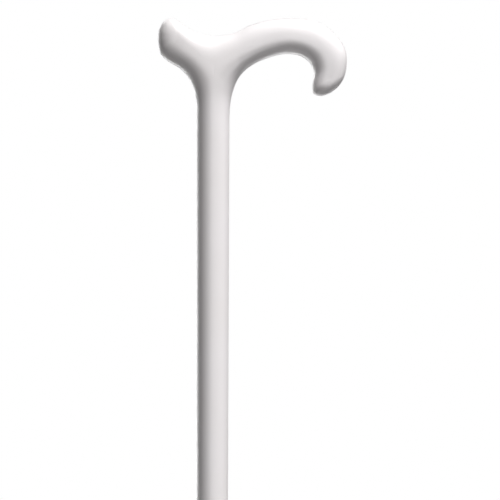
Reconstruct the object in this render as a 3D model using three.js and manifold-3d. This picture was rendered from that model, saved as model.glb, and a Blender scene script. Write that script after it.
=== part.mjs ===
// A walking and support cane with a derby handle: a carved hardwood handle glued and studded to a tapered hardwood
// shaft, painted white all over, with a rubber tip on the floor end.
//
// Frame: millimetres, +Z up the shaft, +X along the grip towards its hook, origin at the centre of the tip's foot.

import * as THREE from "three";
import { mergeVertices } from "three/addons/utils/BufferGeometryUtils.js";
import Module from "manifold-3d";

// ---- Driving dimensions ----

const CANE_HEIGHT = 914.4; // 36 inches, floor to the crest of the grip
const HANDLE_HEIGHT = 76; // joint face to the crest of the grip
const NECK_RADIUS = 11.1; // 7/8 inch shaft at the joint
const SHAFT_END_RADIUS = 9.525; // 3/4 inch at the floor end, a standard tip size
const FIT_GAP = 0.3; // between pieces that touch
const TURN_SEGMENTS = 40; // facets round a turned piece

const STUD_RADIUS = 4; // M8 thread, over its crests
const STUD_LENGTH = 88;
const STUD_SEGMENTS = 20;
const STUD_CHAMFER = 0.8;
const STUD_BORE_RADIUS = 4.4; // leaves room for the glue
const STUD_BORE_DEPTH = 46; // in the handle and in the shaft alike

const TIP_HEIGHT = 42;
const TIP_FOOT_RADIUS = 17.5;
const TIP_SLEEVE_RADIUS = 13;
const TIP_BEAD_RADIUS = 14.3; // rolled rim round the mouth
const TIP_FLOOR = 8; // rubber under the socket
const TREAD_GROOVES = 3; // round the centre of the foot
const TREAD_PITCH = 4.2;
const TREAD_DEPTH = 1.4;
const WASHER_THICKNESS = 1.6;
const WASHER_HOLE_RADIUS = 2.75;
const CENTRE_MARK_RADIUS = 1.6; // left in the shaft's end by the lathe
const CENTRE_MARK_DEPTH = 2.2;
const SHAFT_END_CHAMFER = 1.2;

const JOINT_Z = CANE_HEIGHT - HANDLE_HEIGHT;
const SOCKET_RADIUS = SHAFT_END_RADIUS + 2 * FIT_GAP; // one gap for the shaft's taper and the facets
const WASHER_Z = TIP_FLOOR + FIT_GAP;
const SHAFT_END_Z = WASHER_Z + WASHER_THICKNESS + FIT_GAP;

// ---- Materials ----

const finish = (color, roughness, metalness) => new THREE.MeshStandardMaterial({ color, roughness, metalness });
const whitePaint = finish(0xebe8e8, 0.35, 0);
const zincSteel = finish(0xb4b6b8, 0.35, 1);
const blackRubber = finish(0x1d1d1f, 0.8, 0);

// ---- Solids ----

const wasm = await Module();
wasm.setup();

// A geometry with its shared corners merged and the faces that collapse to a line left out.
function welded(geometry) {
  geometry.deleteAttribute("normal");
  geometry.deleteAttribute("uv");
  const merged = mergeVertices(geometry, 1e-3);
  const kept = [];
  const index = merged.index.array;
  for (let i = 0; i < index.length; i += 3) {
    const [a, b, c] = index.slice(i, i + 3);
    if (a !== b && b !== c && c !== a) kept.push(a, b, c);
  }
  return merged.setIndex(kept);
}

function solidOf(geometry) {
  const merged = welded(geometry);
  const vertProperties = merged.attributes.position.array;
  const triVerts = new Uint32Array(merged.index.array);
  return new wasm.Manifold(new wasm.Mesh({ numProp: 3, vertProperties, triVerts }));
}

function geometryOf(solid) {
  const { vertProperties, triVerts } = solid.getMesh();
  const geometry = new THREE.BufferGeometry();
  geometry.setAttribute("position", new THREE.BufferAttribute(vertProperties, 3));
  geometry.setIndex(new THREE.BufferAttribute(triVerts, 1));
  geometry.computeVertexNormals();
  return geometry;
}

// A solid of revolution about Z, from [radius, z] points that run up its outside.
function turned(profile, segments = TURN_SEGMENTS) {
  const points = profile.map(([radius, z]) => new THREE.Vector2(radius, z));
  return welded(new THREE.LatheGeometry(points, segments).rotateX(Math.PI / 2));
}

// Points of a profile along a circular arc, in degrees from the outward direction, counter-clockwise.
function arc(radius, z, size, from, to, steps = 4) {
  return Array.from({ length: steps + 1 }, (_, i) => {
    const angle = THREE.MathUtils.degToRad(from + ((to - from) * i) / steps);
    return [radius + size * Math.cos(angle), z + size * Math.sin(angle)];
  });
}

function placed(name, geometry, material, z = 0) {
  const mesh = new THREE.Mesh(geometry, material);
  mesh.name = name;
  mesh.position.z = z;
  return mesh;
}

// ---- Handle ----
//
// The handle's skin hangs on ribs. Each rib runs from the outline, in the middle plane, in to the crown line, where
// the skin is at its full depth. Heights count from the joint face. The crown line runs along the grip from the heel
// to the hook, and a second one runs from where they meet down the neck.

const GRIP_CROWN = [
  // x, half depth, z
  [-24, 10.6, 61.2], // heel
  [-11.5, 11.9, 52.6],
  [1, 12.3, 48], // over the neck
  [14.5, 12.4, 52.2],
  [27.5, 12.7, 58.4],
  [41, 13, 62.8],
  [54, 13, 63.8],
  [66.5, 12.3, 60.5],
  [75.6, 11.2, 53.2],
  [79.4, 10.2, 43.8],
  [77, 9.2, 34], // hook
];
const JUNCTION = 2; // the grip crown's point over the neck
const NECK_CROWN = [
  GRIP_CROWN[JUNCTION],
  [0.7, 11.9, 35.5],
  [0.2, 11.3, 23.5],
  [0, NECK_RADIUS, 12],
  [0, NECK_RADIUS, 0],
];

const BEND_CORNER = [0.5, 12.3, 45]; // below the junction, where the crown lines' tangents meet

// The outline's points, x and z, one for each of the crown's points. Each run starts round an end of the grip.
const HEEL_TIP = [-37.6, 60.5];
const HOOK_TIP = [79.3, 25.4];
const CREST = [
  HEEL_TIP,
  [-36.6, 68.2],
  [-32.9, 74.2],
  [-27.4, 75.9],
  [-14, 67.6],
  [0.8, 64],
  [13.4, 65.9],
  [25.2, 71.3],
  [39.6, 75.1],
  [54.5, 75.93],
  [70.2, 73.8],
  [83.2, 64.6],
  [90, 53.4],
  [89.4, 38],
  [85.2, 30.3],
  HOOK_TIP,
];
const HEEL_UNDERSIDE = [
  HEEL_TIP,
  [-35.9, 52.3],
  [-30.8, 47],
  [-23.4, 42.5],
  [-17, 36.2],
  [-13.1, 28],
  [-11.4, 19],
  [-NECK_RADIUS, 10],
  [-NECK_RADIUS, 0],
];
const HOOK_UNDERSIDE = [
  HOOK_TIP,
  [73, 23.4],
  [68, 25.1],
  [67.1, 30],
  [68.3, 38.4],
  [65.7, 45.6],
  [58.6, 50.7],
  [49, 51.9],
  [39, 49.8],
  [28.6, 45.6],
  [21.5, 40.6],
  [17, 35.2],
  [14.1, 28.6],
  [12, 20.4],
  [NECK_RADIUS, 10],
  [NECK_RADIUS, 0],
];
const HEEL_TOP_SPANS = 3; // spans of each outline that go round an end of the grip
const HEEL_UNDER_SPANS = 2;
const HOOK_TOP_SPANS = 2;
const HOOK_UNDER_SPANS = 3;
const SPAN_STEPS = 4; // stations between two neighbouring points
const RIB_STEPS = 8; // facets from the outline to the crown
const GRIP_SQUARENESS = 2.35; // 2 would be an ellipse
const ROUND = 2;

const onOutline = (points) => points.map(([x, z]) => new THREE.Vector3(x, 0, z));
const onCrown = (points) => points.map(([x, depth, z]) => new THREE.Vector3(x, depth, z));

// Evenly parameterised points on a smooth curve, SPAN_STEPS to a span.
function stationsAlong(points) {
  const curve = new THREE.CatmullRomCurve3(points, false, "centripetal");
  return curve.getPoints((points.length - 1) * SPAN_STEPS);
}

const repeated = (point, spans) => Array(spans * SPAN_STEPS).fill(point);

// One rib, from its outline point to its crown point, as a quarter of a superellipse.
function rib(outline, crown, squareness) {
  const power = 2 / squareness;
  return Array.from({ length: RIB_STEPS + 1 }, (_, i) => {
    const angle = (i / RIB_STEPS) * (Math.PI / 2);
    const inward = i === RIB_STEPS ? 1 : 1 - Math.cos(angle) ** power;
    const point = outline.clone().lerp(crown, inward);
    point.y = crown.y * Math.sin(angle) ** power;
    return point;
  });
}

// The skin between neighbouring ribs, on both sides of the middle plane. turn is 1 where the ribs run clockwise round
// the handle as seen from the front, and -1 where they run the other way.
function skin(ribs, turn) {
  const corners = [];
  for (let i = 1; i < ribs.length; i++) {
    for (let j = 1; j < ribs[i].length; j++) {
      const quad = [ribs[i - 1][j - 1], ribs[i][j - 1], ribs[i][j], ribs[i - 1][j]];
      for (const side of [1, -1]) {
        const order = side * turn > 0 ? [0, 1, 2, 0, 2, 3] : [0, 2, 1, 0, 3, 2];
        for (const k of order) corners.push(quad[k].x, side * quad[k].y, quad[k].z);
      }
    }
  }
  return corners;
}

// The ridge's stations, with the corner where the grip meets the neck rounded off.
function eased(ridge, corner) {
  const from = corner - SPAN_STEPS;
  const to = corner + SPAN_STEPS;
  const bend = new THREE.QuadraticBezierCurve3(ridge[from], new THREE.Vector3(...BEND_CORNER), ridge[to]);
  return [...ridge.slice(0, from), ...bend.getPoints(to - from), ...ridge.slice(to + 1)];
}

// The skin under one arm of the grip and down that side of the neck, closed across the joint face.
function underside(outlinePoints, endSpans, arm, neck) {
  const outline = stationsAlong(onOutline(outlinePoints));
  const ridge = [...repeated(arm[0], endSpans), ...arm, ...neck.slice(1)];
  const corner = ridge.length - neck.length;
  const crown = eased(ridge, corner);
  const ribs = outline.map((point, i) => {
    const downNeck = THREE.MathUtils.smoothstep(i, corner, corner + 2 * SPAN_STEPS);
    const squareness = THREE.MathUtils.lerp(GRIP_SQUARENESS, ROUND, downNeck);
    return [...rib(point, crown[i], squareness), ridge[i]];
  });
  const jointCentre = new THREE.Vector3();
  return [...ribs, Array(RIB_STEPS + 2).fill(jointCentre)];
}

function handleSkin() {
  const grip = stationsAlong(onCrown(GRIP_CROWN));
  const neck = stationsAlong(onCrown(NECK_CROWN));
  const junction = JUNCTION * SPAN_STEPS;
  const heelArm = grip.slice(0, junction + 1);
  const hookArm = grip.slice(junction).reverse();

  const crestCrown = [...repeated(grip[0], HEEL_TOP_SPANS), ...grip, ...repeated(grip.at(-1), HOOK_TOP_SPANS)];
  const crest = stationsAlong(onOutline(CREST)).map((point, i) => rib(point, crestCrown[i], GRIP_SQUARENESS));

  return new Float32Array([
    ...skin(crest, 1),
    ...skin(underside(HEEL_UNDERSIDE, HEEL_UNDER_SPANS, heelArm, neck), -1),
    ...skin(underside(HOOK_UNDERSIDE, HOOK_UNDER_SPANS, hookArm, neck), 1),
  ]);
}

function handle() {
  const body = new THREE.BufferGeometry();
  body.setAttribute("position", new THREE.BufferAttribute(handleSkin(), 3));
  const bore = turned(
    [
      [0, -1],
      [STUD_BORE_RADIUS, -1],
      [STUD_BORE_RADIUS, STUD_BORE_DEPTH],
      [0, STUD_BORE_DEPTH + STUD_BORE_RADIUS / 2], // the drill's point
    ],
    STUD_SEGMENTS,
  );
  const drilled = solidOf(body).subtract(solidOf(bore));
  return placed("handle", geometryOf(drilled), whitePaint, JOINT_Z);
}

// ---- Shaft, stud and tip ----

function shaft() {
  const top = JOINT_Z - FIT_GAP;
  const boreFloor = JOINT_Z - STUD_BORE_DEPTH;
  const profile = [
    [0, SHAFT_END_Z + CENTRE_MARK_DEPTH],
    [CENTRE_MARK_RADIUS, SHAFT_END_Z],
    [SHAFT_END_RADIUS - SHAFT_END_CHAMFER, SHAFT_END_Z],
    [SHAFT_END_RADIUS, SHAFT_END_Z + SHAFT_END_CHAMFER],
    [NECK_RADIUS, top],
    [STUD_BORE_RADIUS, top],
    [STUD_BORE_RADIUS, boreFloor],
    [0, boreFloor - STUD_BORE_RADIUS / 2],
  ];
  return placed("shaft", turned(profile), whitePaint);
}

function jointStud() {
  const half = STUD_LENGTH / 2;
  const profile = [
    [0, -half],
    [STUD_RADIUS - STUD_CHAMFER, -half],
    [STUD_RADIUS, -half + STUD_CHAMFER],
    [STUD_RADIUS, half - STUD_CHAMFER],
    [STUD_RADIUS - STUD_CHAMFER, half],
    [0, half],
  ];
  return placed("joint_stud", turned(profile, STUD_SEGMENTS), zincSteel, JOINT_Z);
}

// Concentric grooves in the tip's foot, with slanted walls.
function treadProfile() {
  const wall = 0.4;
  const floor = 1.2;
  return Array.from({ length: TREAD_GROOVES }, (_, i) => {
    const radius = TREAD_PITCH * (i + 1);
    return [
      [radius, 0],
      [radius + wall, TREAD_DEPTH],
      [radius + wall + floor, TREAD_DEPTH],
      [radius + 2 * wall + floor, 0],
    ];
  }).flat();
}

function rubberTip() {
  const footEdge = 1.8;
  const footTop = 5.2;
  const flareTop = 15.5;
  const bead = 2.2;
  const beadZ = TIP_HEIGHT - bead;
  const mouthLip = 0.9;
  const ring = 1.1;
  const ringAt = (z) => arc(TIP_SLEEVE_RADIUS, z, ring, -90, 90);
  const flare = new THREE.QuadraticBezierCurve(
    new THREE.Vector2(TIP_FOOT_RADIUS - 0.5, footTop + 0.8),
    new THREE.Vector2(TIP_SLEEVE_RADIUS + 0.2, footTop + 2.6),
    new THREE.Vector2(TIP_SLEEVE_RADIUS, flareTop),
  );
  const profile = [
    [0, 0],
    ...treadProfile(),
    ...arc(TIP_FOOT_RADIUS - footEdge, footEdge, footEdge, -90, 0),
    [TIP_FOOT_RADIUS, footTop],
    ...flare.getPoints(6).map(({ x, y }) => [x, y]),
    ...ringAt(19.5),
    ...ringAt(25),
    [TIP_SLEEVE_RADIUS, beadZ - bead],
    ...arc(TIP_BEAD_RADIUS - bead, beadZ, bead, -60, 90),
    [SOCKET_RADIUS + mouthLip, TIP_HEIGHT],
    [SOCKET_RADIUS, TIP_HEIGHT - mouthLip],
    [SOCKET_RADIUS, TIP_FLOOR],
    [0, TIP_FLOOR],
  ];
  return placed("rubber_tip", turned(profile), blackRubber);
}

function tipWasher() {
  const outer = SOCKET_RADIUS - FIT_GAP;
  const edge = 0.25;
  const profile = [
    [WASHER_HOLE_RADIUS, 0],
    [outer - edge, 0],
    [outer, edge],
    [outer, WASHER_THICKNESS - edge],
    [outer - edge, WASHER_THICKNESS],
    [WASHER_HOLE_RADIUS, WASHER_THICKNESS],
    [WASHER_HOLE_RADIUS, 0],
  ];
  return placed("tip_washer", turned(profile), zincSteel, WASHER_Z);
}

const cane = new THREE.Group();
cane.add(handle(), shaft(), jointStud());
const tip = new THREE.Group();
tip.add(rubberTip(), tipWasher());
cane.add(tip);

export default cane;
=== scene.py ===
"""A white walking cane with a derby handle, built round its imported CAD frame.

Lengths in the profiles and tables are in millimetres, and turn into metres as a mesh is made. +Z runs up the
shaft and +X along the grip towards its hook.
"""

import math

import bmesh
import bpy
import numpy as np
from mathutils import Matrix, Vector


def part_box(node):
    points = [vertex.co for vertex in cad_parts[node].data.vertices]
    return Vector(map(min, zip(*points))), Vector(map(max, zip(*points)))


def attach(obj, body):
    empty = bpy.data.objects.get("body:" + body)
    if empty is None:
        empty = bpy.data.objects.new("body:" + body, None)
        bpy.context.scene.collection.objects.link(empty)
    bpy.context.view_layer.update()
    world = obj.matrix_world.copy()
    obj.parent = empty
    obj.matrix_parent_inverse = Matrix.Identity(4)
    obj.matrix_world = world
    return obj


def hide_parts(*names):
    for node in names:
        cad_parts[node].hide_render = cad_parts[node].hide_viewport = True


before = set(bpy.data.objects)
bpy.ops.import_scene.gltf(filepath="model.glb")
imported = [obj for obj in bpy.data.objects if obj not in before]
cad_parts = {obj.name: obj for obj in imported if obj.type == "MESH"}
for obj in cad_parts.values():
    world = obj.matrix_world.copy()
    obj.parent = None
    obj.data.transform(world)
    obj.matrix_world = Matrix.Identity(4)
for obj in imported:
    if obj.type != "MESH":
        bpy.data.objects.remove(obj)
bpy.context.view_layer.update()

MM = 0.001
PAINT, WOOD = 0, 1  # material slots of the painted pieces

# ---- Sizes that the frame gives, in millimetres ----

JOINT_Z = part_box("handle")[0].z / MM
NECK_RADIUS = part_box("shaft")[1].x / MM
SHAFT_END_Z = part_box("shaft")[0].z / MM
STUD_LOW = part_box("joint_stud")[0].z / MM
STUD_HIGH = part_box("joint_stud")[1].z / MM
STUD_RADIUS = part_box("joint_stud")[1].x / MM
TIP_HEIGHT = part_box("rubber_tip")[1].z / MM
TIP_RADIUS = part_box("rubber_tip")[1].x / MM
WASHER_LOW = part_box("tip_washer")[0].z / MM
WASHER_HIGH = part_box("tip_washer")[1].z / MM
WASHER_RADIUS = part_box("tip_washer")[1].x / MM

SHAFT_END_RADIUS = 9.525  # 3/4 in across, the commonest tip's bore
BORE_RADIUS = STUD_RADIUS + 0.4  # glue fills the gap
BORE_DEPTH = 46
RIM = 0.3  # the rounding of a bore's mouth

# ---- Mesh helpers ----

SHARP_ABOVE = 35  # degrees between two faces


def add_mesh(name, verts, faces, materials, material_of=None):
    """A smooth-shaded object from vertices in millimetres. material_of tells a face's slot by its middle."""
    mesh = bpy.data.meshes.new(name)
    mesh.from_pydata([tuple(MM * c for c in v) for v in verts], [], faces)
    for material in materials:
        mesh.materials.append(material)
    shape = bmesh.new()
    shape.from_mesh(mesh)
    bmesh.ops.recalc_face_normals(shape, faces=shape.faces)
    shape.to_mesh(mesh)
    shape.free()
    mesh.shade_smooth()
    mesh.set_sharp_from_angle(angle=math.radians(SHARP_ABOVE))
    if material_of:
        for polygon in mesh.polygons:
            polygon.material_index = material_of(polygon.center / MM)
    obj = bpy.data.objects.new(name, mesh)
    bpy.context.scene.collection.objects.link(obj)
    return obj


def stands_for(obj, node, body):
    """Makes the object the finer twin of a CAD node, riding on that body."""
    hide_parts(node)
    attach(obj, body)


def arc(radius, z, size, start, end, steps=10):
    """Corners, with no rounding, along a circular arc. Angles are in degrees from the outward direction."""
    angles = [math.radians(start + (end - start) * i / steps) for i in range(steps + 1)]
    return [(radius + size * math.cos(a), z + size * math.sin(a), 0) for a in angles]


def rounded(corners, steps=5):
    """Profile points (radius, z) from corners (radius, z, rounding), each rounded off by an arc that big."""
    points = []
    for i, (r, z, size) in enumerate(corners):
        if not size:
            points.append((r, z))
            continue
        here = Vector((r, z))
        before = (Vector(corners[i - 1][:2]) - here).normalized()
        after = (Vector(corners[(i + 1) % len(corners)][:2]) - here).normalized()
        half = before.angle(after) / 2
        centre = here + (before + after).normalized() * size / math.sin(half)
        start = here + before * size / math.tan(half) - centre
        end = here + after * size / math.tan(half) - centre
        points += [tuple(centre + size * start.slerp(end, k / steps)) for k in range(steps + 1)]
    return points


def lathe(profile, segments):
    """Vertices and faces of a (radius, z) profile turned about Z. It ends on the axis or closes on itself."""
    verts, rings, faces = [], [], []
    for r, z in profile:
        if r < 1e-6:
            rings.append([len(verts)] * segments)
            verts.append((0, 0, z))
        else:
            rings.append(list(range(len(verts), len(verts) + segments)))
            angles = [2 * math.pi * k / segments for k in range(segments)]
            verts += [(r * math.cos(a), r * math.sin(a), z) for a in angles]
    if profile[0][0] > 1e-6:
        rings.append(rings[0])
    for low, high in zip(rings, rings[1:]):
        for k in range(segments):
            quad = [low[k - 1], low[k], high[k], high[k - 1]]
            faces.append([v for i, v in enumerate(quad) if v not in quad[:i]])
    return verts, faces


def raised(verts, height):
    return [(x, y, z + height) for x, y, z in verts]


# ---- Handle ----

# The crown line runs where the grip's side is fullest, from the heel to the hook: x, half depth, z.
GRIP_CROWN = [
    (-24, 11.1, 62.1),
    (-11.6, 12, 52.2),
    (1, 12, 46.4),
    (15.3, 12, 50.9),
    (27.7, 12.2, 56.7),
    (40.8, 12.4, 61),
    (53.4, 12.6, 62.2),
    (65.6, 12.2, 59.3),
    (74.8, 11.2, 52.6),
    (78.9, 10.3, 43.5),
    (77, 9.5, 34),
]
JUNCTION = 2  # the crown line's point above the neck
NECK_CROWN = [(0.7, 11.9, 35.5), (0.2, 11.3, 23.5), (0, NECK_RADIUS, 12), (0, NECK_RADIUS, 0)]
BEND_CORNER = (0.5, 12.1, 41)  # the control point of the fillet between the grip's crown line and the neck's

# The outline in the middle plane, x and z, in three runs. Each starts round an end of the grip.
HEEL_TIP = (-37.6, 60.5)
HOOK_TIP = (79.3, 25.4)
CREST = [
    HEEL_TIP,
    (-36.6, 68.2),
    (-32.9, 74.2),
    (-27.4, 75.9),
    (-14, 67.6),
    (0.8, 64),
    (13.4, 65.9),
    (25.2, 71.3),
    (39.6, 75.1),
    (54.5, 75.93),
    (70.2, 73.8),
    (83.2, 64.6),
    (90, 53.4),
    (89.4, 38),
    (85.2, 30.3),
    HOOK_TIP,
]
HEEL_UNDERSIDE = [
    HEEL_TIP,
    (-35.9, 52.3),
    (-30.8, 47),
    (-23.4, 42.5),
    (-17, 36.2),
    (-13.1, 28),
    (-11.4, 19),
    (-NECK_RADIUS, 10),
    (-NECK_RADIUS, 0),
]
HOOK_UNDERSIDE = [
    HOOK_TIP,
    (73, 23.4),
    (68, 25.1),
    (67.1, 30),
    (68.3, 38.4),
    (65.7, 45.6),
    (58.6, 50.7),
    (49, 51.9),
    (39, 49.8),
    (28.6, 45.6),
    (21.5, 40.6),
    (17, 35.2),
    (14.1, 28.6),
    (12, 20.4),
    (NECK_RADIUS, 10),
    (NECK_RADIUS, 0),
]
HEEL_TOP_SPANS = 3  # spans of each outline that go round an end of the grip
HEEL_UNDER_SPANS = 2
HOOK_TOP_SPANS = 2
HOOK_UNDER_SPANS = 3
SPAN_STEPS = 8  # ribs from one of the tables' points to the next
RIB_STEPS = 24  # facets from the outline to the crown
BEND_STEPS = 4  # facets across the fillet where the crown lines meet
GRIP_SQUARENESS = 2.35
ROUND = 2  # the squareness of an ellipse
POLISH_ROUNDS = 40
POLISH_PUSHES = (0.5, -0.52)  # each round sands inwards, then grows back a little more


def spline(points, steps):
    """Points on a centripetal Catmull-Rom curve, with that many steps between each two of the given ones."""
    points = [np.array(point, float) for point in points]
    run = [2 * points[0] - points[1], *points, 2 * points[-1] - points[-2]]
    curve = [points[0]]
    for a, b, c, d in zip(run, run[1:], run[2:], run[3:]):
        before, here, after = (math.sqrt(math.dist(p, q)) for p, q in ((a, b), (b, c), (c, d)))
        leaving = c - b + here * ((b - a) / before - (c - a) / (before + here))
        arriving = c - b + here * ((d - c) / after - (d - b) / (here + after))
        for i in range(1, steps + 1):
            t = i / steps
            on_chord = b + (c - b) * t * t * (3 - 2 * t)
            curve.append(on_chord + t * (1 - t) * (leaving * (1 - t) - arriving * t))
    return curve


def rib(outline, crown, squareness):
    """Points of a quarter superellipse from the outline, an (x, z) in the middle plane, to the crown."""
    x, depth, z = crown
    points = []
    for i in range(RIB_STEPS + 1):
        angle = math.pi / 2 * i / RIB_STEPS
        inward = 1 - max(0, math.cos(angle)) ** (2 / squareness)
        y = depth * math.sin(angle) ** (2 / squareness)
        points.append((outline[0] + (x - outline[0]) * inward, y, outline[1] + (z - outline[1]) * inward))
    return points


def underside(outline, end_spans, arm, neck):
    """Ribs under one arm of the grip and down that side of the neck, with a fillet between their crowns."""
    ridge = [arm[0]] * end_spans * SPAN_STEPS + arm + neck[1:]
    corner = len(ridge) - len(neck)
    start, end = corner - SPAN_STEPS, corner + SPAN_STEPS
    ribs = []
    for i, point in enumerate(spline(outline, SPAN_STEPS)):
        crown = ridge[i]
        if start < i < end:
            t = (i - start) / (end - start)
            crown = (1 - t) ** 2 * ridge[start] + 2 * t * (1 - t) * np.array(BEND_CORNER) + t * t * ridge[end]
        down = min(1, max(0, i - corner) / (2 * SPAN_STEPS))
        down *= down * (3 - 2 * down)
        fillet = [tuple(crown + (ridge[i] - crown) * k / BEND_STEPS) for k in range(1, BEND_STEPS + 1)]
        ribs.append(rib(point, crown, GRIP_SQUARENESS + (ROUND - GRIP_SQUARENESS) * down) + fillet)
    return ribs


def handle_ribs():
    """Three runs of ribs: over the crest, and under the heel and under the hook, each on down the neck."""
    grip = spline(GRIP_CROWN, SPAN_STEPS)
    neck = spline([GRIP_CROWN[JUNCTION], *NECK_CROWN], SPAN_STEPS)
    junction = JUNCTION * SPAN_STEPS
    crest_crown = [grip[0]] * HEEL_TOP_SPANS * SPAN_STEPS + grip + [grip[-1]] * HOOK_TOP_SPANS * SPAN_STEPS
    return [
        [rib(point, crown, GRIP_SQUARENESS) for point, crown in zip(spline(CREST, SPAN_STEPS), crest_crown)],
        underside(HEEL_UNDERSIDE, HEEL_UNDER_SPANS, grip[: junction + 1], neck),
        underside(HOOK_UNDERSIDE, HOOK_UNDER_SPANS, grip[junction:][::-1], neck),
    ]


def handle_skin():
    """The handle's skin, open at the joint face, as shared vertices and faces."""
    index, verts, faces = {}, [], []

    def vertex(x, y, z):
        key = (round(x, 4), round(y, 4) + 0.0, round(z, 4))
        if key not in index:
            index[key] = len(verts)
            verts.append((x, y, z))
        return index[key]

    for run in handle_ribs():
        for before, after in zip(run, run[1:]):
            for k in range(1, len(before)):
                corners = (before[k - 1], after[k - 1], after[k], before[k])
                for side in (1, -1):
                    quad = [vertex(x, side * y, z) for x, y, z in corners]
                    face = [v for i, v in enumerate(quad) if v not in quad[:i]]
                    if len(face) > 2:
                        faces.append(face)
    return verts, faces


def polished(verts, faces):
    """The skin with its small unevenness sanded out, without shrinking it. Its open rim stays as it is."""
    pairs = {tuple(sorted(pair)) for face in faces for pair in zip(face, face[1:] + face[:1])}
    edges = np.array(sorted(pairs))
    ends, others = np.concatenate([edges, edges[:, ::-1]]).T
    count = np.bincount(ends)[:, None]
    skin = np.array(verts)
    free = (skin[:, 2] > 0.01)[:, None]
    for _ in range(POLISH_ROUNDS):
        for push in POLISH_PUSHES:
            total = np.zeros_like(skin)
            np.add.at(total, ends, skin[others])
            skin += push * free * (total / count - skin)
    return [tuple(point) for point in skin]


def on_circle(point, radius, z):
    """The place on a level circle round the axis that lies in the point's direction."""
    scale = radius / math.hypot(point[0], point[1])
    return (point[0] * scale, point[1] * scale, z)


def near_axis(point):
    """Whether a point is as close to the axis as a bore's mouth."""
    return math.hypot(point.x, point.y) < BORE_RADIUS + RIM


def drilled(ring, depth):
    """Rings that lead from an outer ring across the flat joint face and down a drilled hole's wall."""
    flat_z = ring[0][2]
    corners = [(NECK_RADIUS, flat_z, 0), (BORE_RADIUS, flat_z, RIM), (BORE_RADIUS, flat_z + depth, 0)]
    return [[on_circle(point, radius, z) for point in ring] for radius, z in rounded(corners)[1:]]


def make_handle(paint, wood):
    verts, faces = handle_skin()
    verts = polished(verts, faces)
    before = [i for i, v in enumerate(verts) if v[2] < 0.01]
    before.sort(key=lambda i: math.atan2(verts[i][1], verts[i][0]))
    for ring in drilled([verts[i] for i in before], BORE_DEPTH):
        after = list(range(len(verts), len(verts) + len(ring)))
        verts += ring
        faces += [[before[k - 1], after[k - 1], after[k], before[k]] for k in range(len(ring))]
        before = after
    drill_point = len(verts)
    verts.append((0, 0, BORE_DEPTH + BORE_RADIUS / 2))
    faces += [[before[k - 1], drill_point, before[k]] for k in range(len(before))]

    def material_of(middle):
        in_bore = near_axis(middle) and middle.z < JOINT_Z + BORE_DEPTH + BORE_RADIUS
        return WOOD if in_bore or middle.z < JOINT_Z + 0.01 else PAINT

    handle = add_mesh("carved_handle", raised(verts, JOINT_Z), faces, [paint, wood], material_of)
    stands_for(handle, "handle", "cane")


# ---- Shaft and stud ----

SHAFT_SEGMENTS = 4 * RIB_STEPS  # as round the handle's neck
SHAFT_STRETCHES = 80  # along the taper
CENTRE_MARK_RADIUS = 1.6
CENTRE_MARK_DEPTH = 2.2
END_CHAMFER = 1.2
SEAM = 0.004  # the painted-over joint, too fine to see
BARE_END = 1.4  # bare wood reaches this far up the floor end
THREAD_PITCH = 1.25
THREAD_DEPTH = 0.7
THREAD_SEGMENTS = 32
THREAD_ROWS = 6  # rows of faces in one pitch
STUD_CHAMFER = 0.8


def make_shaft(paint, wood):
    top = JOINT_Z - SEAM
    bore_floor = JOINT_Z - BORE_DEPTH
    low = SHAFT_END_Z + END_CHAMFER
    corners = [
        (0, SHAFT_END_Z + CENTRE_MARK_DEPTH, 0),
        (CENTRE_MARK_RADIUS, SHAFT_END_Z, 0.2),
        (SHAFT_END_RADIUS - END_CHAMFER, SHAFT_END_Z, 0.4),
        (SHAFT_END_RADIUS, low, 0.4),
    ]
    for i in range(1, SHAFT_STRETCHES):
        t = i / SHAFT_STRETCHES
        corners.append((SHAFT_END_RADIUS + (NECK_RADIUS - SHAFT_END_RADIUS) * t, low + (top - low) * t, 0))
    corners += [
        (NECK_RADIUS, top, 0),
        (BORE_RADIUS, top, RIM),
        (BORE_RADIUS, bore_floor, 0),
        (0, bore_floor - BORE_RADIUS / 2, 0),
    ]

    def material_of(middle):
        in_bore = near_axis(middle) and middle.z > bore_floor - BORE_RADIUS
        return WOOD if in_bore or middle.z < SHAFT_END_Z + BARE_END or middle.z > top - 0.01 else PAINT

    verts, faces = lathe(rounded(corners), SHAFT_SEGMENTS)
    shaft = add_mesh("turned_shaft", verts, faces, [paint, wood], material_of)
    stands_for(shaft, "shaft", "cane")


def helical_thread(low, high):
    """A closed threaded rod whose rows of vertices follow the helix, so that its crest is one smooth line."""
    rows = math.ceil((high - low) / THREAD_PITCH * THREAD_ROWS)
    verts = []
    for i in range(rows + THREAD_ROWS + 1):
        across = abs(2 * ((i / THREAD_ROWS) % 1) - 1)  # 1 at a root's middle and 0 at a crest's
        depth = min(1, max(0, 1.5 * across - 0.25))  # straight flanks between a flat crest and a flat root
        radius = STUD_RADIUS - THREAD_DEPTH * depth
        for k in range(THREAD_SEGMENTS):
            angle = 2 * math.pi * k / THREAD_SEGMENTS
            rise = THREAD_PITCH * (i / THREAD_ROWS + k / THREAD_SEGMENTS - 1)
            verts.append((radius * math.cos(angle), radius * math.sin(angle), low + rise))

    def at(i, k):
        turns, k = divmod(k, THREAD_SEGMENTS)
        return (i + turns * THREAD_ROWS) * THREAD_SEGMENTS + k

    faces = [
        [at(i, k), at(i, k + 1), at(i + 1, k + 1), at(i + 1, k)]
        for i in range(rows)
        for k in range(THREAD_SEGMENTS)
    ]
    for first, outward in ((0, 1), (rows, -1)):
        helix = [at(first, k) for k in range(THREAD_SEGMENTS)]
        step = [at(first + j, 0) for j in range(THREAD_ROWS, 0, -1)]
        loop = helix + step
        verts.append((0, 0, verts[loop[0]][2]))
        faces += [[len(verts) - 1, loop[k - 1], loop[k]][::-outward] for k in range(len(loop))]
    return verts, faces


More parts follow.
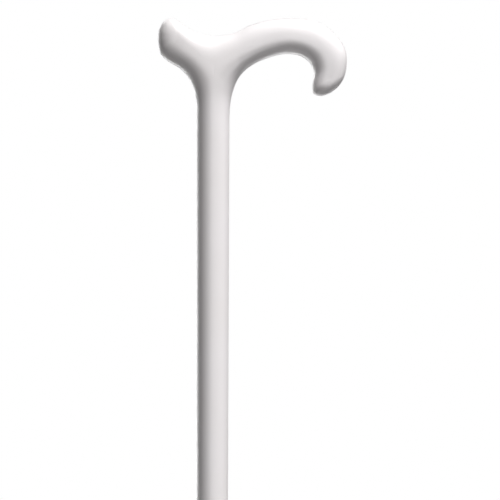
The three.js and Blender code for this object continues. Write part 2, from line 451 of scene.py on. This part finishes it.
def make_stud(steel):
    rod = add_mesh("threaded_stud", *helical_thread(STUD_LOW, STUD_HIGH), [steel])
    ends = [(0, STUD_LOW), (STUD_RADIUS - STUD_CHAMFER, STUD_LOW)]
    ends.append((STUD_RADIUS + 0.01, STUD_LOW + STUD_CHAMFER))
    ends += [(r, STUD_LOW + STUD_HIGH - z) for r, z in reversed(ends)]
    blank = add_mesh("stud_blank", *lathe(ends, THREAD_SEGMENTS * 2), [])
    cut = rod.modifiers.new("cut_to_length", "BOOLEAN")
    cut.operation = "INTERSECT"
    cut.solver = "EXACT"
    cut.object = blank
    rod.data = bpy.data.meshes.new_from_object(rod.evaluated_get(bpy.context.evaluated_depsgraph_get()))
    rod.modifiers.clear()
    bpy.data.objects.remove(blank)
    stands_for(rod, "joint_stud", "cane")


# ---- Tip ----

TIP_SEGMENTS = 96
SLEEVE_RADIUS = 13
BEAD = 2.2  # the rolled rim's half height
BEAD_RADIUS = 14.3
TIP_RING = 1.1
TIP_RING_HEIGHTS = (19.5, 25)
FOOT_EDGE = 1.8
FOOT_TOP = 5.6
FLARE_TOP = 15.5
TREAD_GROOVES = 3
TREAD_PITCH = 4.2
TREAD_WIDTH = 2
TREAD_SLOPE = 0.4
TREAD_DEPTH = 1.4
TREAD_ROUNDING = 0.25
FLASH_HEIGHT = 0.08  # the mould's parting line
SOCKET_CLEARANCE = 0.04  # all round the shaft
WASHER_CLEARANCE = 0.15
WASHER_HOLE_RADIUS = 2.75
SHEARED_EDGE = 0.1
ROLLED_EDGE = 0.35


def flare(start, bend, end, steps=16):
    """Corners, with no rounding, along a quadratic curve between two (radius, z) points."""
    corners = []
    for i in range(steps + 1):
        t = i / steps
        r, z = ((1 - t) ** 2 * a + 2 * t * (1 - t) * b + t * t * c for a, b, c in zip(start, bend, end))
        corners.append((r, z, 0))
    return corners


def make_tip(rubber):
    shaft_at_rim = SHAFT_END_RADIUS + (NECK_RADIUS - SHAFT_END_RADIUS) * TIP_HEIGHT / JOINT_Z
    socket = shaft_at_rim + SOCKET_CLEARANCE
    recess = WASHER_RADIUS + WASHER_CLEARANCE
    recess_floor = WASHER_LOW - 0.05
    recess_top = SHAFT_END_Z + 0.6
    corners = [(0, 0, 0)]
    for i in range(1, TREAD_GROOVES + 1):
        slope_ends = [(0, 0), (TREAD_SLOPE, TREAD_DEPTH)]
        slope_ends += [(TREAD_WIDTH - r, z) for r, z in reversed(slope_ends)]
        corners += [(TREAD_PITCH * i + r, z, TREAD_ROUNDING) for r, z in slope_ends]
    corners += [(TIP_RADIUS, 0, FOOT_EDGE), (TIP_RADIUS, FOOT_TOP, 0.5)]
    shoulder = (TIP_RADIUS - 0.6, FOOT_TOP + 0.5)
    bend = (SLEEVE_RADIUS + 0.2, FOOT_TOP + 2.2)
    corners += flare(shoulder, bend, (SLEEVE_RADIUS, FLARE_TOP))
    for height in TIP_RING_HEIGHTS:
        corners += arc(SLEEVE_RADIUS - 0.1, height, TIP_RING, -90, 90)
    bead_z = TIP_HEIGHT - BEAD
    corners += [(SLEEVE_RADIUS, bead_z - BEAD, 0.6)]
    corners += arc(BEAD_RADIUS - BEAD, bead_z, BEAD, -55, 90)
    corners += [(socket, TIP_HEIGHT, 0.8), (socket, recess_top, 0), (recess, recess_top - 0.3, 0)]
    corners += [(recess, recess_floor, 0), (0, recess_floor, 0)]
    verts, faces = lathe(rounded(corners), TIP_SEGMENTS)
    flashed = []
    for x, y, z in verts:
        outside = math.hypot(x, y) > SLEEVE_RADIUS - 0.05 and 0.5 < z < TIP_HEIGHT - 0.5
        if outside and abs(x) < 0.01:
            y += math.copysign(FLASH_HEIGHT, y)
        flashed.append((x, y, z))
    tip = add_mesh("rubber_ferrule", flashed, faces, [rubber])
    stands_for(tip, "rubber_tip", "tip")


def make_washer(steel):
    corners = [
        (WASHER_HOLE_RADIUS, WASHER_LOW, SHEARED_EDGE),
        (WASHER_RADIUS, WASHER_LOW, SHEARED_EDGE),
        (WASHER_RADIUS, WASHER_HIGH, ROLLED_EDGE),
        (WASHER_HOLE_RADIUS, WASHER_HIGH, ROLLED_EDGE),
    ]
    washer = add_mesh("punched_washer", *lathe(rounded(corners), TIP_SEGMENTS), [steel])
    stands_for(washer, "tip_washer", "tip")


# ---- Materials ----


def new_material(name):
    material = bpy.data.materials.new(name)
    material.use_nodes = True
    tree = material.node_tree
    return material, tree, tree.nodes["Principled BSDF"]


def node(tree, kind, inputs=None, **settings):
    """A new node. Each input is a value, or the output that is linked to it."""
    made = tree.nodes.new("ShaderNode" + kind)
    for name, value in settings.items():
        setattr(made, name, value)
    for name, value in (inputs or {}).items():
        if isinstance(value, bpy.types.NodeSocket):
            tree.links.new(value, made.inputs[name])
        else:
            made.inputs[name].default_value = value
    return made


def place_on_object(tree, stretch=(1, 1, 1)):
    """Object coordinates, in metres, with each axis scaled."""
    place = node(tree, "TexCoord").outputs["Object"]
    return node(tree, "Mapping", {"Vector": place, "Scale": stretch}).outputs["Vector"]


def noise(tree, place, size_mm, detail=2.0, roughness=0.5):
    """Noise whose blotches are about that many millimetres across."""
    inputs = {"Vector": place, "Scale": 1 / (size_mm * MM), "Detail": detail, "Roughness": roughness}
    return node(tree, "TexNoise", inputs).outputs["Fac"]


def ranged(tree, value, low, high, to_low, to_high):
    """The value taken from one range to another, and held inside the new one."""
    inputs = {"Value": value, "From Min": low, "From Max": high, "To Min": to_low, "To Max": to_high}
    return node(tree, "MapRange", inputs).outputs["Result"]


def blended(tree, factor, first, second):
    """A colour between two, by a factor."""
    mix = node(tree, "Mix", {"Factor": factor}, data_type="RGBA")
    first_socket, second_socket, result = mix.inputs[6], mix.inputs[7], mix.outputs[2]  # those for colours
    for socket, colour in ((first_socket, first), (second_socket, second)):
        if isinstance(colour, bpy.types.NodeSocket):
            tree.links.new(colour, socket)
        else:
            socket.default_value = (*colour, 1)
    return result


def bumped(tree, shader, layers):
    """Stacks bumps on a shader's normal, each from a height and its depth in millimetres."""
    normal = None
    for height, depth in layers:
        bump = node(tree, "Bump", {"Height": height, "Distance": depth * MM})
        if normal:
            tree.links.new(normal, bump.inputs["Normal"])
        normal = bump.outputs["Normal"]
    tree.links.new(normal, shader.inputs["Normal"])


WHITE = (0.82, 0.79, 0.796)
AGED_WHITE = (0.8, 0.768, 0.765)
PALE_WOOD = (0.62, 0.44, 0.26)
DARK_WOOD = (0.4, 0.24, 0.12)


def white_enamel(name, grain_stretch):
    """Sprayed enamel over sanded hardwood: a fine orange peel, with a trace of the grain under it."""
    material, tree, shader = new_material(name)
    place = place_on_object(tree)
    peel = noise(tree, place, 2.2, 0)
    grain = noise(tree, place_on_object(tree, grain_stretch), 0.9, 3)
    patches = noise(tree, place, 60, 2)
    colour = blended(tree, ranged(tree, patches, 0.35, 0.75, 0, 1), WHITE, AGED_WHITE)
    tree.links.new(colour, shader.inputs["Base Color"])
    tree.links.new(ranged(tree, patches, 0.2, 0.8, 0.27, 0.34), shader.inputs["Roughness"])
    bumped(tree, shader, [(peel, 0.012), (grain, 0.004)])
    return material


def bare_wood():
    """Sawn and drilled hardwood: year rings round the pith, with open pores."""
    material, tree, shader = new_material("bare_hardwood")
    place = place_on_object(tree, (1, 1, 0.06))
    wander = noise(tree, place, 14, 2)
    inputs = {"Vector": place, "Scale": 90.0, "Distortion": 2.5, "Detail": 2.0}
    rings = node(tree, "TexWave", inputs, wave_type="RINGS", rings_direction="Z").outputs["Fac"]
    pores = noise(tree, place, 0.35, 2)
    colour = blended(tree, ranged(tree, rings, 0.2, 0.9, 0, 0.75), PALE_WOOD, DARK_WOOD)
    colour = blended(tree, ranged(tree, pores, 0.58, 0.7, 0, 0.6), colour, DARK_WOOD)
    colour = blended(tree, ranged(tree, wander, 0.4, 0.8, 0, 0.35), colour, PALE_WOOD)
    tree.links.new(colour, shader.inputs["Base Color"])
    tree.links.new(ranged(tree, pores, 0.3, 0.7, 0.62, 0.8), shader.inputs["Roughness"])
    bumped(tree, shader, [(pores, 0.12), (rings, 0.05)])
    return material


def black_rubber():
    """Moulded rubber: a fine leathery skin with a little grey bloom."""
    material, tree, shader = new_material("black_rubber")
    place = place_on_object(tree)
    skin = noise(tree, place, 0.5, 3)
    bloom = noise(tree, place, 7, 4, 0.6)
    colour = blended(tree, ranged(tree, bloom, 0.42, 0.75, 0, 1), (0.014, 0.014, 0.015), (0.04, 0.04, 0.042))
    tree.links.new(colour, shader.inputs["Base Color"])
    tree.links.new(ranged(tree, bloom, 0.35, 0.7, 0.52, 0.72), shader.inputs["Roughness"])
    bumped(tree, shader, [(skin, 0.04), (bloom, 0.05)])
    return material


def zinc_steel():
    """Bright zinc plating, faintly clouded, over drawn steel."""
    material, tree, shader = new_material("zinc_steel")
    place = place_on_object(tree)
    cloud = noise(tree, place, 3, 3)
    drawn = noise(tree, place_on_object(tree, (1, 1, 0.05)), 0.15, 2)
    colour = blended(tree, ranged(tree, cloud, 0.3, 0.7, 0, 1), (0.62, 0.64, 0.66), (0.7, 0.68, 0.6))
    tree.links.new(colour, shader.inputs["Base Color"])
    shader.inputs["Metallic"].default_value = 1
    tree.links.new(ranged(tree, drawn, 0.3, 0.7, 0.26, 0.4), shader.inputs["Roughness"])
    bumped(tree, shader, [(drawn, 0.01)])
    return material


# ---- Studio ----

# Each panel's degrees round from the camera, degrees up from level, and watts.
PANELS = {
    "key": (45, 60, 610),
    "high_fill": (0, 30, 8),
    "front_fill": (0, 0, 46),
    "front_low": (30, -30, 75),
    "left": (240, 0, 37),
    "left_low": (240, -30, 30),
    "rim_high": (210, 30, 35),
    "rim": (210, 0, 78),
    "rim_low": (210, -30, 77),
    "back": (180, 0, 16),
    "back_low": (180, -30, 58),
    "rim_right": (150, 0, 16),
    "rim_right_low": (150, -30, 26),
    "under": (180, -60, 14),
}
PANEL_SIZE = 2.7
PANEL_DISTANCE = 6
STUDIO_CENTRE = (0.02, 0, 0.87)  # near the handle's middle
FLOOR_RADIUS = 6


def make_camera():
    """A long lens, level with the middle of what it frames: the grip and the upper quarter of the shaft."""
    frame_width = 0.339
    lean = 0.002  # of the shaft, in the picture, in radians
    middle = Vector((0.02522, 0, 0.7574))
    data = bpy.data.cameras.new("camera")
    data.lens = 200
    distance = frame_width * data.lens / data.sensor_width
    camera = bpy.data.objects.new("camera", data)
    camera.location = middle + Vector((0, -distance, 0))
    camera.rotation_euler = (math.pi / 2, -lean, 0)
    bpy.context.scene.collection.objects.link(camera)
    bpy.context.scene.camera = camera


def make_panels():
    """Square lamps that face the handle from all round it. The brightest is high on the right, in front."""
    for name, (azimuth, elevation, power) in PANELS.items():
        data = bpy.data.lights.new(name, "AREA")
        data.size = PANEL_SIZE
        data.energy = power
        lamp = bpy.data.objects.new(name, data)
        turn, tilt = math.radians(azimuth), math.radians(elevation)
        away = Vector((math.sin(turn) * math.cos(tilt), -math.cos(turn) * math.cos(tilt), math.sin(tilt)))
        lamp.location = Vector(STUDIO_CENTRE) + PANEL_DISTANCE * away
        lamp.rotation_euler = away.to_track_quat("Z", "Y").to_euler()
        lamp.visible_camera = False
        bpy.context.scene.collection.objects.link(lamp)


def make_world():
    """Seen as plain white by the camera, while only the panels light the cane."""
    world = bpy.data.worlds.new("white_studio")
    bpy.context.scene.world = world
    world.use_nodes = True
    tree = world.node_tree
    seen = node(tree, "LightPath").outputs["Is Camera Ray"]
    background = tree.nodes["Background"]
    background.inputs["Color"].default_value = (1, 1, 1, 1)
    tree.links.new(seen, background.inputs["Strength"])


def make_floor():
    """A pale disc that fades to white at its edge.

    It rides with the tip, so that a tip drawn off still stands on it, and the cane is seen lifted.
    """
    material, tree, shader = new_material("pale_floor")
    place = place_on_object(tree)
    far = node(tree, "VectorMath", {0: place}, operation="LENGTH").outputs["Value"]
    speckle = noise(tree, place, 40, 3)
    colour = blended(tree, speckle, (0.29, 0.29, 0.29), (0.33, 0.33, 0.33))
    tree.links.new(colour, shader.inputs["Base Color"])
    shader.inputs["Roughness"].default_value = 0.6
    shader.inputs["Emission Color"].default_value = (1, 1, 1, 1)
    glow = ranged(tree, far, 0.3 * FLOOR_RADIUS, 0.95 * FLOOR_RADIUS, 0.42, 1)
    tree.links.new(glow, shader.inputs["Emission Strength"])
    shape = bmesh.new()
    bmesh.ops.create_circle(shape, cap_ends=True, segments=96, radius=FLOOR_RADIUS)
    mesh = bpy.data.meshes.new("floor")
    shape.to_mesh(mesh)
    shape.free()
    mesh.materials.append(material)
    floor = bpy.data.objects.new("floor", mesh)
    bpy.context.scene.collection.objects.link(floor)
    floor.visible_diffuse = floor.visible_glossy = floor.visible_shadow = False
    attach(floor, "tip")


bpy.context.scene.view_settings.view_transform = "Standard"
make_camera()
make_world()
make_floor()
make_panels()

wood = bare_wood()
steel = zinc_steel()
make_handle(white_enamel("handle_enamel", (0.08, 1, 1)), wood)
make_shaft(white_enamel("shaft_enamel", (1, 1, 0.04)), wood)
make_stud(steel)
make_tip(black_rubber())
make_washer(steel)
